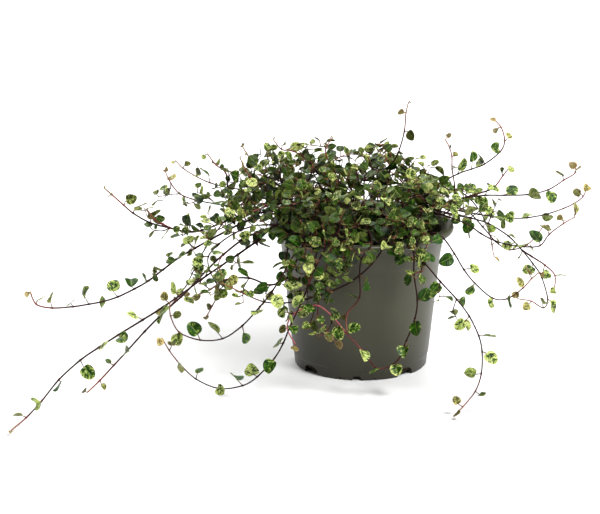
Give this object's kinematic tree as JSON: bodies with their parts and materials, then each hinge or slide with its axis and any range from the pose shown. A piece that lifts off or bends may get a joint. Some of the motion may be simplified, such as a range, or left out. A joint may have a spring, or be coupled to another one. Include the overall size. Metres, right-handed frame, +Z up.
{
  "type": "potted wire vine",
  "caption": "Variegated wire vine with thin trailing stems and small round leaves, growing in a tapered plastic nursery pot of soil.",
  "frame": {"origin": "centre of the pot's underside, on the surface that the pot stands on", "axes": "+Z up along the pot's axis, -Y towards the front, where most stems hang over the rim, +X to the right as seen from the front"},
  "size_m": [0.4572, 0.3357, 0.2212],
  "materials": {
    "pot_plastic": "satin",
    "potting_soil": "rough, damp peat",
    "vine": "semi-matt leaves, green with cream marbling, on thin dark stems"
  },
  "bodies": {
    "root": {"pot": "pot_plastic", "soil": "potting_soil", "shoot_01": "vine", "shoot_02": "vine", "shoot_03": "vine", "shoot_04": "vine", "shoot_05": "vine", "shoot_06": "vine", "shoot_07": "vine", "shoot_08": "vine", "shoot_09": "vine", "shoot_10": "vine", "shoot_11": "vine", "shoot_12": "vine", "shoot_13": "vine", "shoot_14": "vine", "shoot_15": "vine", "shoot_16": "vine", "shoot_17": "vine", "shoot_18": "vine", "shoot_19": "vine", "shoot_20": "vine", "sprig_arch": "vine", "sprig_back_left": "vine", "sprig_left": "vine", "sprig_left_low": "vine", "sprig_right": "vine", "sprig_short": "vine", "sprig_tall": "vine", "tuft_rim_corner": "vine", "tuft_rim_front": "vine", "tuft_rim_left": "vine", "tuft_rim_middle": "vine", "vine_back_arch": "vine", "vine_back_hang": "vine", "vine_back_left": "vine", "vine_back_right": "vine", "vine_back_swag": "vine", "vine_cross_front": "vine", "vine_far_left": "vine", "vine_front_left": "vine", "vine_front_long": "vine", "vine_front_mid": "vine", "vine_hang_left": "vine", "vine_high_left": "vine", "vine_left_floor": "vine", "vine_left_fork": "vine", "vine_left_low": "vine", "vine_left_mid": "vine", "vine_loop_lower": "vine", "vine_loop_upper": "vine", "vine_right_arch": "vine", "vine_right_drop": "vine", "vine_right_floor": "vine", "vine_right_long": "vine", "vine_right_low": "vine", "vine_right_mid": "vine", "vine_right_swag": "vine", "vine_top_left": "vine"}
  },
  "joints": []
}
